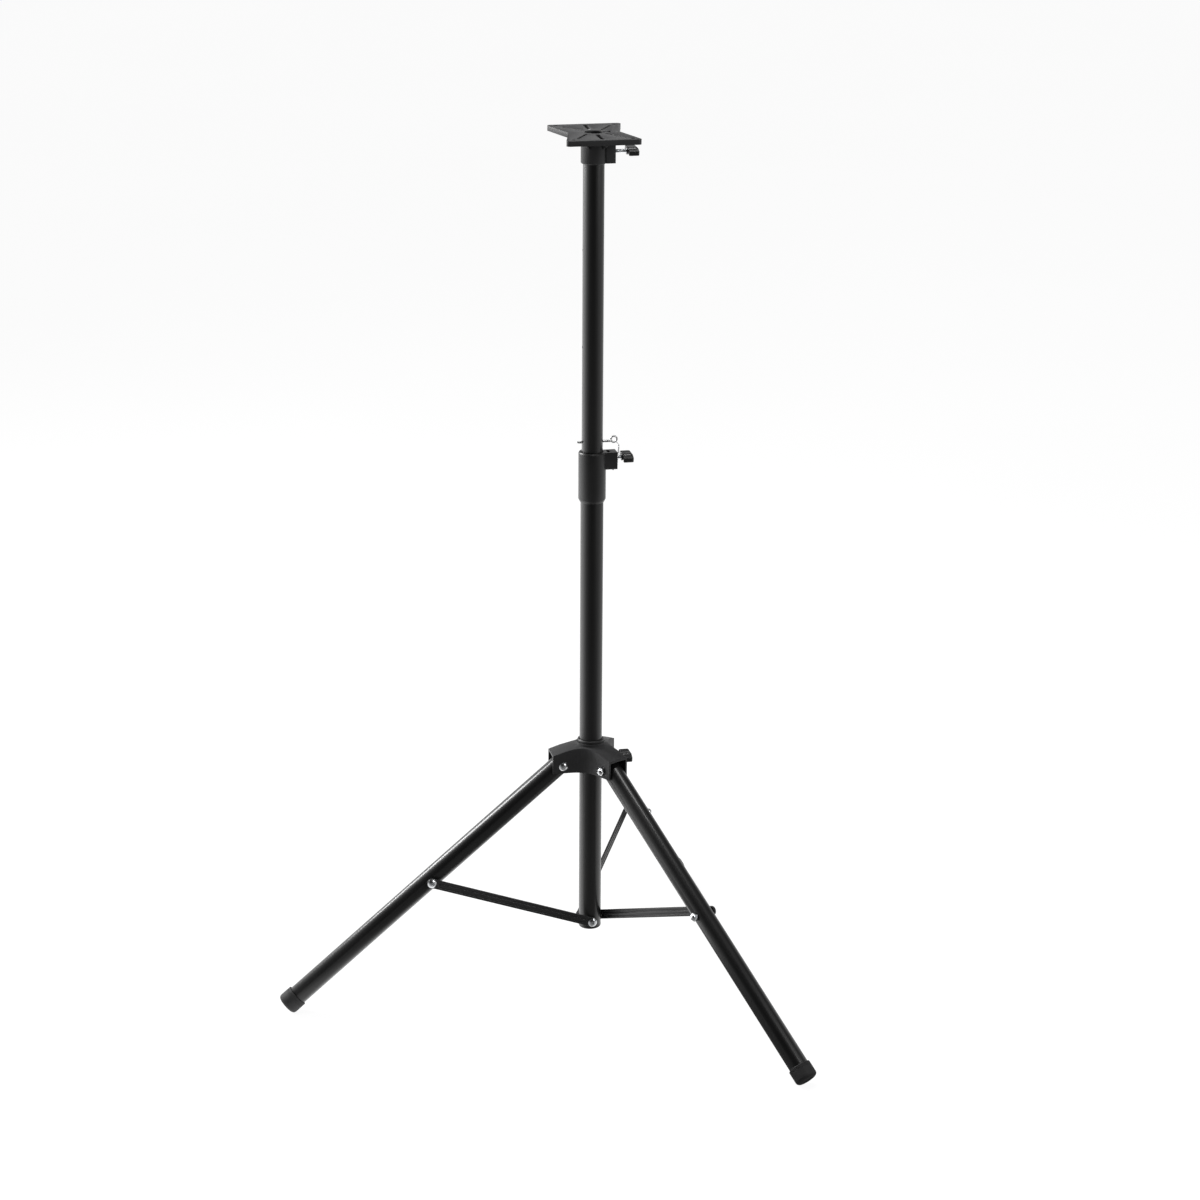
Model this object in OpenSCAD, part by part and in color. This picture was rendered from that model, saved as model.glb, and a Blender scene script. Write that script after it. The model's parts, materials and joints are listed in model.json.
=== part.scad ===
// Speaker tripod stand: a telescoping pole, three folding legs on a sliding hub and a slotted top plate.
// The origin is the point on the floor under the pole's axis. +X is the way the clamp screws point.

/* [Pole] */
// Outer diameter of the lower tube
pole_d = 38; // [37:0.5:40]
// Outer diameter of the sliding upper tube
mast_d = 35; // [33:0.5:35]
// Wall of the upper tube
mast_wall = 1.2; // [1:0.1:2]
// Length of the upper tube
mast_len = 850; // [700:10:900]
// Height of the top plate's upper face above the floor
plate_top_z = 1485; // [1400:5:1600]
// Height of the locking collar's upper face above the floor
collar_top_z = 958; // [900:2:1000]
// Length of the locking collar
collar_len = 85; // [70:1:100]
// Outer diameter of the locking collar
collar_d = 45.5; // [45:0.5:48]
// Distance from one pin hole to the next
pin_pitch = 160; // [120:10:180]
// Height of the safety pin above the collar
pin_lift = 16.5; // [15:0.5:20]
// Height of the struts' inner screws above the floor
strut_screw_z = 129; // [120:1:140]

/* [Legs] */
// Tilt of an open leg from the vertical, in degrees
leg_tilt = 49.65; // [48:0.05:52]
// Length of a leg from its pivot to the end of its foot
leg_len = 624; // [600:1:650]
// Outer diameter of a leg tube
leg_d = 33.5; // [30:0.5:34]
// Wall of a leg tube
leg_wall = 1.5; // [1.2:0.1:2]
// Distance of the leg pivots from the pole's axis
leg_pivot_r = 51; // [50:0.5:53]
// Outer diameter of a foot
foot_d = 38.5; // [37:0.5:42]
// Length of a foot
foot_len = 26; // [22:1:32]
// Radius of a foot's rounded end
foot_round = 6; // [3:0.5:8]

/* [Struts] */
// Distance along a leg from its pivot to the strut bolt
strut_reach = 297.5; // [290:0.5:300]
// Width of a strut
strut_w = 16; // [15:0.5:18]
// Thickness of a strut
strut_t = 3.5; // [3:0.1:4]

/* [Hub] */
// Thickness of the hub's walls
hub_wall = 3; // [2.5:0.1:3.2]
// Reach of the hub's arms from the pole's axis
hub_reach = 69; // [67:0.5:72]
// Radius of the hollow webs between the arms
web_r = 45; // [40:1:50]
// Height of the hub's sleeve above the leg pivots
hub_top = 36.5; // [35:0.5:40]
// Depth of the hub's walls below the leg pivots
hub_skirt = 12; // [10:0.5:14]

/* [Top plate] */
// Width of the top plate along the clamp screw
plate_w = 121; // [110:1:140]
// Length of the top plate across the clamp screw
plate_l = 164; // [150:1:180]
// Depth of the waist in each side of the plate
plate_waist = 21; // [15:1:22]
// Height of the plate's rim
plate_rim = 8.5; // [7:0.5:10]
// Thickness of the plate and its rim
plate_t = 3; // [2.5:0.1:3.5]
// Radius of the plate's corners
plate_corner = 6; // [4:0.5:8]
// Depth of the sleeve below the plate's upper face
sleeve_depth = 50; // [45:1:60]
// Distance between corner holes along the clamp screw
hole_w = 96; // [90:1:100]
// Distance between corner holes across the clamp screw
hole_l = 140; // [130:1:142]

/* [Clamp screws] */
// Diameter of the clamp screws
screw_d = 6; // [5:0.5:6]
// Reach of a knob's ears from its axis
wing_reach = 18; // [16:0.5:21]
// Angle by which a knob's ears are turned from level
wing_lift = 8; // [0:1:35]

/* [Hidden] */
$fn = 64;

// Directions of the legs round the pole
left = 180;
front = 300;
rear = 60;
LEGS = [left, front, rear];

// Clearances: a running fit, a shaft in its bush, and a gap between bodies
fit = 0.05;
gap = 0.4;

// Radii of the tubes
pole_r = pole_d / 2;
mast_r = mast_d / 2;
mast_bore = mast_r - mast_wall;
pole_bore = mast_r + 0.3;
leg_r = leg_d / 2;
leg_bore = leg_r - leg_wall;
foot_r = foot_d / 2;

// The leg pivots' height puts the lowest point of each foot on the floor
pivot_z = leg_len * cos(leg_tilt) + (foot_r - foot_round) * sin(leg_tilt)
    + foot_round * (1 - cos(leg_tilt));
leg_head = 12;
leg_cap = 2;
foot_floor = 5;
pivot_r = 4;
head_r = 7.5;
head_t = 4;
head_dome = 10;

// The struts' outer pivots and the struts' slope and length
strut_out_r = leg_pivot_r + strut_reach * sin(leg_tilt);
strut_out_z = pivot_z - strut_reach * cos(leg_tilt);
strut_rise = atan2(strut_out_z - strut_screw_z, strut_out_r);
strut_len = norm([strut_out_r, strut_out_z - strut_screw_z]);
strut_y = pole_r + 0.5;
strut_face = strut_y + strut_t;
strut_groove = 1.1;

// Hub
arm_half = leg_r + gap + hub_wall;
web_c = (arm_half + web_r) / cos(30);
web_meet = web_c - web_r * cos(30);
web_meet_y = web_r / 2;
sleeve_r = pole_r + 5.5;
bush_r = pole_r + 2;
bush_lip = 5;
hub_screw_z = pivot_z + 5;

// Lower tube and collar
tube_foot_z = strut_screw_z - 10;
tube_head_z = collar_top_z - 24;
tube_len = tube_head_z - tube_foot_z;
collar_lip = 4;
collar_r = collar_d / 2;
collar_screw_z = collar_top_z - 11.5;
collar_boss = [40.5, 11, 28.5];

// Upper tube, pin and chain
mast_head_z = plate_top_z - plate_t - fit;
mast_foot_z = mast_head_z - mast_len;
pin_z = collar_top_z + pin_lift;
pin_r = 2;
pin_nose_x = -26;
eye_r = 5;
eye_wire = 1.5;
eye_x = 36.5;
eye_z = pin_z + 2.6;
ring_r = 4.5;
ring_wire = 0.6;
ring_hang = -50;
ring_out = eye_r - eye_wire - ring_wire - fit + ring_r;
anchor = [34, collar_boss[1], collar_top_z - 27];
anchor_r = 1.5;
anchor_grip = 3;
bead_r = 1.3;
link_r = 0.45;
// The bead chain's route, from the ring to the anchor, measured from the collar's upper face
CHAIN = [
    [44.6, 0.3, 8.1], [45, 1.8, 4.5], [45.3, 3.6, 1], [45.5, 5.6, -2.4], [45.6, 7.6, -5.8],
    [45.7, 9.5, -9.3], [45.8, 11.2, -12.9], [45.8, 12.6, -16.6], [45.8, 13.6, -20.4],
    [45.7, 14.1, -24.4], [45.3, 14.3, -28.4], [44.3, 14.3, -32.2], [42, 14.2, -35.4],
    [38.4, 14, -36.8], [35.2, 13.5, -35.1], [34, 13, -32.1]
];

// Clamp screws: where each knob starts, from the pole's axis
plate_knob_x = 53;
collar_knob_x = 48.5;
hub_knob_x = 51;
plate_screw_z = plate_top_z - 31.5;
screw_r = screw_d / 2;
screw_grip = 9;
nut_w = 12;
nut_t = 5;
nut_room = 0.15;
pad_r = 5;
pad_t = 4.5;
plate_boss = [33, 14, 48];
plate_sleeve_r = 21;
hub_boss = [42, 9, 24];

BLACK = [0.10, 0.10, 0.11];
CASTING = [0.24, 0.24, 0.25];
RUBBER = [0.07, 0.07, 0.07];
STEEL = [0.80, 0.81, 0.83];
NYLON = [0.86, 0.85, 0.80];

// Cylinders along +X and +Y, between two planes
module rod_x(r, from, to) {
    translate([from, 0, 0]) rotate([0, 90, 0]) cylinder(r = r, h = to - from);
}
module rod_y(r, from, to) {
    translate([0, from, 0]) rotate([-90, 0, 0]) cylinder(r = r, h = to - from);
}

// Points of an arc round a centre, from one angle to another in the given number of steps
function arc(c, r, from, to, n) = [
    for (i = [0:n]) let (a = from + (to - from) * i / n) c + r * [cos(a), sin(a)]
];

// Places: along a leg from its pivot, and along a strut from its inner screw
module on_leg(az) {
    rotate([0, 0, az]) translate([leg_pivot_r, 0, pivot_z]) rotate([0, -leg_tilt, 0]) children();
}
module on_strut(az) {
    rotate([0, 0, az]) translate([0, 0, strut_screw_z]) rotate([0, -strut_rise, 0]) children();
}

// A slot through the plate, from one point to another
module slot(p, q, w, h) {
    length = norm(q - p);
    translate([p[0], p[1], 0]) rotate([0, 0, atan2(q[1] - p[1], q[0] - p[0])]) {
        translate([0, -w / 2, 0]) cube([length, w, h]);
        cylinder(d = w, h = h);
        translate([length, 0, 0]) cylinder(d = w, h = h);
    }
}

// ---- Lower tube and its fittings ----

module lower_tube() {
    color(BLACK) difference() {
        translate([0, 0, tube_foot_z]) cylinder(r = pole_r, h = tube_len, $fn = 96);
        translate([0, 0, tube_foot_z - 1]) cylinder(r = pole_bore, h = tube_len + 2, $fn = 96);
        for (az = LEGS) rotate([0, 0, az]) translate([0, 0, strut_screw_z]) rod_y(pivot_r, 0, pole_r + 1);
    }
}

module pole_end_plug() {
    plug_len = 32;
    flange = 5;
    corner = 4;
    color(BLACK) difference() {
        translate([0, 0, tube_foot_z]) rotate_extrude($fn = 96) polygon(concat(
            [[0, -flange]],
            arc([pole_r - corner, corner - flange], corner, -90, 0, 6),
            [[pole_r, 0], [pole_bore, 0], [pole_bore, plug_len], [0, plug_len]]
        ));
        for (az = LEGS) rotate([0, 0, az]) translate([0, 0, strut_screw_z]) rod_y(pivot_r, 6, pole_r + 1);
    }
}

module strut_screw(az) {
    rotate([0, 0, az]) translate([0, 0, strut_screw_z]) domed_bolt(6, strut_face + fit);
}

module strut_screws() {
    color(STEEL) for (az = LEGS) strut_screw(az);
}

module strut_washers() {
    washer_r = 8;
    color(NYLON) for (az = LEGS) rotate([0, 0, az]) translate([0, 0, strut_screw_z]) difference() {
        rod_y(washer_r, pole_r + fit, strut_y - fit);
        rod_y(pivot_r, pole_r, strut_y);
    }
}

// The hollow block on a sleeve that holds a nut, open at one end for the nut
module clamp_boss(from_x, size, top_z) {
    translate([from_x, -size[1], top_z - size[2]]) cube([size[0] - from_x, 2 * size[1], size[2]]);
}
module clamp_cuts(inner_r, z, nut_x, out_x, mouth) {
    pocket = nut_w / 2 + nut_room;
    translate([0, 0, z]) rod_x(pad_r + fit, inner_r - 1, nut_x);
    translate([0, 0, z]) rod_x(screw_r + 0.25, nut_x, out_x + 1);
    translate([nut_x - nut_room, -pocket, min(z - pocket, z + mouth)])
        cube([nut_t + 2 * nut_room, 2 * pocket, abs(mouth) + pocket]);
}
module clamp_nut(z, nut_x) {
    translate([nut_x, -nut_w / 2, z - nut_w / 2]) cube([nut_t, nut_w, nut_w]);
}
module square_nut(z, nut_x) {
    color(STEEL) difference() {
        clamp_nut(z, nut_x);
        translate([0, 0, z]) rod_x(screw_r + fit, nut_x - 1, nut_x + nut_t + 1);
    }
}
module clamp_pad(z, inner_r) {
    color(NYLON) translate([0, 0, z]) rod_x(pad_r, inner_r + fit, inner_r + pad_t);
}

collar_nut_x = mast_r + pad_t + 2.2;
plate_nut_x = mast_r + pad_t + 1;
hub_nut_x = pole_r + pad_t + 5;

module locking_collar() {
    taper = 5.5;
    chamfer = 2;
    bottom_z = collar_top_z - collar_len;
    color(CASTING) difference() {
        union() {
            rotate_extrude($fn = 96) polygon([
                [pole_r - 2, bottom_z], [pole_r + 0.9, bottom_z], [collar_r, bottom_z + taper],
                [collar_r, collar_top_z - chamfer], [collar_r - chamfer * 0.7, collar_top_z],
                [mast_r - 1, collar_top_z]
            ]);
            clamp_boss(mast_r, collar_boss, collar_top_z - 0.8);
        }
        translate([0, 0, bottom_z - 1])
            cylinder(r = pole_r, h = collar_len + 1 - collar_lip, $fn = 96);
        translate([0, 0, bottom_z]) cylinder(r = mast_r + gap, h = collar_len + 1, $fn = 96);
        clamp_cuts(mast_r, collar_screw_z, collar_nut_x, collar_boss[0], 15);
        translate([anchor[0], 0, anchor[2]]) rod_y(anchor_r, anchor[1] - anchor_grip, anchor[1] + 1);
    }
}

module mast_guide_bush() {
    color(NYLON) difference() {
        translate([0, 0, tube_head_z])
            cylinder(r = pole_r, h = collar_top_z - collar_lip - tube_head_z, $fn = 96);
        translate([0, 0, tube_head_z - 1]) cylinder(r = mast_r + fit, h = collar_len, $fn = 96);
        translate([0, 0, collar_screw_z]) rod_x(pad_r + fit, 0, pole_r + 1);
    }
}

module collar_nut() {
    square_nut(collar_screw_z, collar_nut_x);
}
module collar_pad() {
    clamp_pad(collar_screw_z, mast_r);
}

module chain_anchor_screw() {
    cap_r = 3.4;
    cap_t = 1.8;
    stand_off = 4;
    color(STEEL) translate([anchor[0], 0, anchor[2]]) {
        rod_y(anchor_r, anchor[1] - anchor_grip, anchor[1] + stand_off);
        rod_y(cap_r, anchor[1] + stand_off, anchor[1] + stand_off + cap_t);
    }
}

// ---- Upper tube, safety pin and chain ----

module upper_tube() {
    color(BLACK) difference() {
        translate([0, 0, mast_foot_z]) cylinder(r = mast_r, h = mast_len, $fn = 96);
        translate([0, 0, mast_foot_z - 1]) cylinder(r = mast_bore, h = mast_len + 2, $fn = 96);
        for (i = [-1:2]) translate([0, 0, pin_z + i * pin_pitch]) rod_x(pin_r + fit, -mast_d, mast_d);
    }
}

module mast_foot_bush() {
    flange = 8;
    spigot = 22;
    bore = 12;
    color(NYLON) translate([0, 0, mast_foot_z]) rotate_extrude($fn = 96) polygon([
        [bore, -flange], [pole_bore - fit, -flange], [pole_bore - fit, 0], [mast_bore, 0],
        [mast_bore, spigot], [bore, spigot]
    ]);
}

module safety_pin() {
    nose = 2;
    neck_x = eye_x - 3;
    color(STEEL) {
        translate([0, 0, pin_z]) rod_x(pin_r, pin_nose_x + nose, neck_x);
        translate([pin_nose_x, 0, pin_z]) rotate([0, 90, 0])
            cylinder(r1 = pin_r / 2, r2 = pin_r, h = nose);
        translate([eye_x, 0, eye_z]) rotate([90, 0, 0])
            rotate_extrude() translate([eye_r, 0]) circle(r = eye_wire);
    }
}

// The split ring that hangs on the pin's eye
module chain_ring() {
    color(STEEL) translate([eye_x + ring_out * cos(ring_hang), 0, eye_z + ring_out * sin(ring_hang)])
        rotate([0, -ring_hang, 0]) rotate_extrude()
            translate([ring_r, 0]) circle(r = ring_wire, $fn = 24);
}

module chain_link(p, q) {
    d = q - p;
    translate(p) rotate([0, atan2(norm([d[0], d[1]]), d[2]), atan2(d[1], d[0])])
        cylinder(r = link_r, h = norm(d), $fn = 16);
}

module pin_chain() {
    end_ring = 2.6;
    end_wire = 0.5;
    color(STEEL) {
        for (p = CHAIN) translate([p[0], p[1], collar_top_z + p[2]]) sphere(r = bead_r, $fn = 24);
        for (i = [1:len(CHAIN) - 1])
            chain_link(CHAIN[i - 1] + [0, 0, collar_top_z], CHAIN[i] + [0, 0, collar_top_z]);
        translate([anchor[0], anchor[1] + 2, anchor[2] - end_ring + 1.5 + end_wire])
            rotate([90, 0, 0]) rotate_extrude() translate([end_ring, 0]) circle(r = end_wire, $fn = 24);
    }
}

// ---- Top plate ----

// The plate's outline, drawn in from its edge by the given amount
module plate_outline(inset) {
    w = plate_w / 2 - inset;
    l = plate_l / 2 - inset;
    waist = w - plate_waist;
    r = plate_corner - min(inset, plate_corner - 2);
    lean = atan2(plate_waist, l);
    quarter = concat(
        arc([w - r, l - r], r, 90, -lean, 8),
        [[waist + 3.2, 4 + inset / 4], [waist + 1.2, 0]]
    );
    right = concat(quarter, [for (i = [len(quarter) - 2:-1:0]) [quarter[i][0], -quarter[i][1]]]);
    polygon(concat(right, [for (p = right) -p]));
}

module top_plate() {
    rib_out = 36;
    rib_drop = 24;
    rib_t = 3.5;
    slot_w = 4;
    slot_in = [16, 18];
    slot_out = [38, 57];
    mid_slot = [30, 66];
    mid_slot_w = 8;
    hole_r = 3.5;
    seat_r = 15;
    slit_w = 5;
    low = plate_top_z - plate_rim - 1;
    rib_side = [[0, 0], [rib_out, 0], [rib_out, -plate_t], [3, -rib_drop], [0, -rib_drop]];
    color(CASTING) difference() {
        union() {
            difference() {
                translate([0, 0, plate_top_z - plate_rim]) linear_extrude(plate_rim) plate_outline(0);
                translate([0, 0, low]) linear_extrude(plate_rim + 1 - plate_t) plate_outline(plate_t);
            }
            translate([0, 0, plate_top_z - sleeve_depth]) rotate_extrude($fn = 96) polygon([
                [mast_r - 1, 0], [plate_sleeve_r - 1.5, 0], [plate_sleeve_r, 1.5],
                [plate_sleeve_r, sleeve_depth - 1], [mast_r - 1, sleeve_depth - 1]
            ]);
            clamp_boss(mast_r, plate_boss, plate_top_z - 1);
            for (az = [55, 125, 235, 305]) rotate([0, 0, az])
                translate([mast_r + 1, rib_t / 2, plate_top_z - 1]) rotate([90, 0, 0])
                    linear_extrude(rib_t) polygon(rib_side);
        }
        translate([0, 0, plate_top_z - sleeve_depth - 1])
            cylinder(r = mast_r + fit, h = sleeve_depth + 1 - plate_t, $fn = 96);
        translate([0, 0, low]) cylinder(r = seat_r, h = plate_rim + 2, $fn = 96);
        translate([0, 0, plate_top_z - plate_t])
            slot([seat_r - 3, 0], [plate_nut_x + nut_t / 2, 0], slit_w, plate_t + 1);
        clamp_cuts(mast_r, plate_screw_z, plate_nut_x, plate_boss[0], 34);
        for (x = [-1, 1], y = [-1, 1]) {
            translate([x * hole_w / 2, y * hole_l / 2, low]) cylinder(r = hole_r, h = plate_rim + 2);
            translate([0, 0, low]) slot(
                [x * slot_in[0], y * slot_in[1]],
                [x * slot_out[0], y * slot_out[1]],
                slot_w, plate_rim + 2
            );
        }
        for (y = [-1, 1]) translate([0, 0, low])
            slot([0, y * mid_slot[0]], [0, y * mid_slot[1]], mid_slot_w, plate_rim + 2);
    }
}

module plate_nut() {
    square_nut(plate_screw_z, plate_nut_x);
}
module plate_pad() {
    clamp_pad(plate_screw_z, mast_r);
}

// ---- Clamp screws with wing knobs ----

module clamp_screw(z, inner_r, knob_x) {
    color(STEEL) translate([0, 0, z]) rod_x(screw_r, inner_r + pad_t + fit, knob_x + screw_grip);
}

// A knob with a round body and two flat ears, whose line is turned a little from level
module wing_knob(z, knob_x) {
    flange_r = 6.3;
    flange_t = 2.5;
    body_r = 6;
    body_len = 18.5;
    body_round = 2;
    ear_t = 7.5;
    ear_r = 3;
    ear_root = [7.5, 17];
    ear_tip = [4, 15.5];
    color(BLACK) translate([knob_x, 0, z]) difference() {
        union() {
            rotate([0, 90, 0]) rotate_extrude() polygon(concat(
                [[0, 0], [flange_r, 0], [flange_r, flange_t], [body_r, flange_t]],
                arc([body_r - body_round, body_len - body_round], body_round, 0, 90, 6),
                [[0, body_len]]
            ));
            for (side = [-1, 1]) rotate([wing_lift, 0, 0]) translate([0, 0, -ear_t / 2]) hull() {
                for (x = ear_root) translate([x, side, 0]) cylinder(r = ear_r, h = ear_t, $fn = 32);
                for (x = ear_tip) translate([x, side * (wing_reach - ear_r), 0])
                    cylinder(r = ear_r, h = ear_t, $fn = 32);
            }
        }
        rod_x(screw_r, -1, screw_grip);
    }
}

module plate_screw() {
    clamp_screw(plate_screw_z, mast_r, plate_knob_x);
}
module plate_knob() {
    wing_knob(plate_screw_z, plate_knob_x);
}
module collar_screw() {
    clamp_screw(collar_screw_z, mast_r, collar_knob_x);
}
module collar_knob() {
    wing_knob(collar_screw_z, collar_knob_x);
}
module hub_screw() {
    clamp_screw(hub_screw_z, pole_r, hub_knob_x);
}
module hub_knob() {
    wing_knob(hub_screw_z, hub_knob_x);
}

// ---- Hub ----

// Three arms joined by hollow webs, drawn in from the outside by the given amount
module hub_star(inset, reach) {
    half = arm_half - inset;
    difference() {
        union() {
            polygon([for (az = LEGS, side = [-1, 1]) let (a = az + 60, y = side * web_meet_y)
                [web_meet * cos(a) - y * sin(a), web_meet * sin(a) + y * cos(a)]]);
            for (az = LEGS) rotate(az) translate([0, -half]) square([reach, 2 * half]);
        }
        for (az = LEGS) rotate(az + 60) translate([web_c, 0]) circle(r = web_r + inset, $fn = 128);
    }
}

// Everything under the hub's sloping roof, lowered by the given amount
module under_roof(drop) {
    translate([0, 0, pivot_z - drop]) rotate_extrude($fn = 96) polygon([
        [0, -60], [hub_reach + 10, -60], [hub_reach + 10, 16.5], [hub_reach, 20.5],
        [leg_pivot_r + 2, 26], [sleeve_r + 12, 30.2], [sleeve_r, 32.5], [0, 32.5]
    ]);
}

module hub() {
    skirt_z = pivot_z - hub_skirt;
    tall = hub_skirt + hub_top;
    color(CASTING) difference() {
        union() {
            difference() {
                intersection() {
                    translate([0, 0, skirt_z]) linear_extrude(tall) hub_star(0, hub_reach);
                    under_roof(0);
                }
                intersection() {
                    translate([0, 0, skirt_z - 1]) linear_extrude(tall) hub_star(hub_wall, hub_reach + 2);
                    under_roof(hub_wall + 0.2);
                }
            }
            translate([0, 0, skirt_z]) cylinder(r = sleeve_r, h = tall, $fn = 96);
            clamp_boss(sleeve_r - 3, hub_boss, hub_screw_z + 12);
        }
        translate([0, 0, skirt_z - 1]) cylinder(r = bush_r, h = tall + 2, $fn = 96);
        clamp_cuts(bush_r, hub_screw_z, hub_nut_x, hub_boss[0], -20);
        for (az = LEGS) rotate([0, 0, az]) translate([leg_pivot_r, 0, pivot_z])
            rod_y(pivot_r, -arm_half - 1, arm_half + 1);
    }
}

module hub_bush() {
    low = -hub_skirt;
    color(BLACK) difference() {
        translate([0, 0, pivot_z]) rotate_extrude($fn = 96) polygon([
            [pole_r + fit, low], [bush_r, low], [bush_r, hub_top], [bush_r + 1.2, hub_top],
            [bush_r + 1.2, hub_top + bush_lip - 1], [bush_r + 0.2, hub_top + bush_lip],
            [pole_r + fit, hub_top + bush_lip]
        ]);
        translate([0, 0, hub_screw_z]) rod_x(pad_r + fit, 0, bush_r + 1);
    }
}

module hub_nut() {
    square_nut(hub_screw_z, hub_nut_x);
}
module hub_pad() {
    clamp_pad(hub_screw_z, pole_r);
}

// A bolt along +Y: its shank starts at one plane and its domed head stands on another
module domed_bolt(from, seat) {
    rotate([-90, 0, 0]) rotate_extrude() polygon(concat(
        [[0, from], [pivot_r, from], [pivot_r, seat], [head_r, seat]],
        arc([0, seat + head_t - head_dome], head_dome, acos(head_r / head_dome), 90, 8)
    ));
}

// A hexagon nut with a domed end that looks along -Y, standing on the given plane
module domed_nut(from) {
    nut_r = 7.5;
    hex_t = 4.5;
    dome_r = 5.6;
    grip = 5;
    difference() {
        union() {
            translate([0, -from, 0]) rotate([90, 0, 0]) cylinder(r = nut_r, h = hex_t, $fn = 6);
            translate([0, -from - hex_t + 1, 0]) sphere(r = dome_r);
        }
        rod_y(pivot_r, -from - grip, -from);
        rod_y(nut_r, -from, -from + dome_r);
    }
}

module at_leg_pivot(az) {
    rotate([0, 0, az]) translate([leg_pivot_r, 0, pivot_z]) children();
}

module leg_pivot_bolts() {
    color(STEEL) for (az = LEGS) at_leg_pivot(az) domed_bolt(-arm_half - 5, arm_half);
}

module leg_pivot_nuts() {
    color(STEEL) for (az = LEGS) at_leg_pivot(az) domed_nut(arm_half);
}

// ---- Legs ----

module leg_tube(az) {
    tube_top = leg_head - leg_cap;
    tube_end = leg_len - foot_floor;
    color(BLACK) on_leg(az) difference() {
        translate([0, 0, -tube_end]) cylinder(r = leg_r, h = tube_end + tube_top, $fn = 96);
        translate([0, 0, -tube_end - 1]) cylinder(r = leg_bore, h = tube_end + tube_top + 2, $fn = 96);
        rod_y(pivot_r + fit, -leg_d, leg_d);
        translate([0, 0, -strut_reach]) rod_y(pivot_r, -leg_d, leg_d);
    }
}

module leg_plug(az) {
    spigot = 30;
    tube_top = leg_head - leg_cap;
    color(BLACK) on_leg(az) difference() {
        rotate_extrude($fn = 96) polygon([
            [0, tube_top - spigot], [leg_bore, tube_top - spigot], [leg_bore, tube_top],
            [leg_r, tube_top], [leg_r - leg_cap * 0.6, leg_head], [0, leg_head]
        ]);
        rod_y(pivot_r + fit, -leg_d, leg_d);
    }
}

module foot(az) {
    color(RUBBER) on_leg(az) translate([0, 0, -leg_len]) rotate_extrude($fn = 96) polygon(concat(
        [[0, 0]],
        arc([foot_r - foot_round, foot_round], foot_round, -90, 0, 8),
        [[foot_r, foot_len - 1], [foot_r - 1, foot_len], [leg_r, foot_len]],
        [[leg_r, foot_floor], [0, foot_floor]]
    ));
}

module strut_stud(az) {
    color(STEEL) on_leg(az) translate([0, 0, -strut_reach]) {
        rod_y(pivot_r, -leg_r - 5.5, leg_r - 0.15);
        domed_nut(leg_r + 0.5);
    }
}

// ---- Struts ----

// A bar with round ends in the strut's plane, from one end's centre to the other's
module strut_bar(from, to, w, face, back) {
    translate([from, back, -w / 2]) cube([to - from, face - back, w]);
    for (x = [from, to]) translate([x, 0, 0]) rod_y(w / 2, back, face);
}

module strut(az) {
    groove_from = 16;
    groove_w = 9;
    bead_w = 4.2;
    color(BLACK) on_strut(az) difference() {
        strut_bar(0, strut_len, strut_w, strut_face, strut_y);
        for (back = [strut_face - strut_groove, strut_y - 1]) difference() {
            strut_bar(groove_from, strut_len - groove_from, groove_w, back + strut_groove + 1, back);
            strut_bar(groove_from, strut_len - groove_from, bead_w, back + strut_groove + 2, back - 1);
        }
        rod_y(pivot_r + fit, strut_y - 1, strut_face + 1);
        translate([strut_len, 0, 0]) rod_y(pivot_r, strut_y - 1, strut_face + 1);
    }
}

module strut_bolt(az) {
    shoulder_r = 6;
    color(STEEL) on_strut(az) translate([strut_len, 0, 0]) {
        rod_y(shoulder_r, leg_r + gap, strut_y);
        domed_bolt(strut_y - 1, strut_face);
    }
}

lower_tube();
pole_end_plug();
locking_collar();
mast_guide_bush();
collar_nut();
collar_pad();
strut_screws();
strut_washers();
chain_anchor_screw();
upper_tube();
mast_foot_bush();
chain_ring();
pin_chain();
safety_pin();
top_plate();
plate_nut();
plate_pad();
plate_screw();
plate_knob();
collar_screw();
collar_knob();
hub_screw();
hub_knob();
hub();
hub_bush();
hub_nut();
hub_pad();
leg_pivot_bolts();
leg_pivot_nuts();
leg_tube(left);  // leg_tube_left
leg_tube(front);  // leg_tube_front
leg_tube(rear);  // leg_tube_rear
leg_plug(left);  // leg_plug_left
leg_plug(front);  // leg_plug_front
leg_plug(rear);  // leg_plug_rear
foot(left);  // foot_left
foot(front);  // foot_front
foot(rear);  // foot_rear
strut_stud(left);  // strut_stud_left
strut_stud(front);  // strut_stud_front
strut_stud(rear);  // strut_stud_rear
strut(left);  // strut_left
strut(front);  // strut_front
strut(rear);  // strut_rear
strut_bolt(left);  // strut_bolt_left
strut_bolt(front);  // strut_bolt_front
strut_bolt(rear);  // strut_bolt_rear
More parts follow.
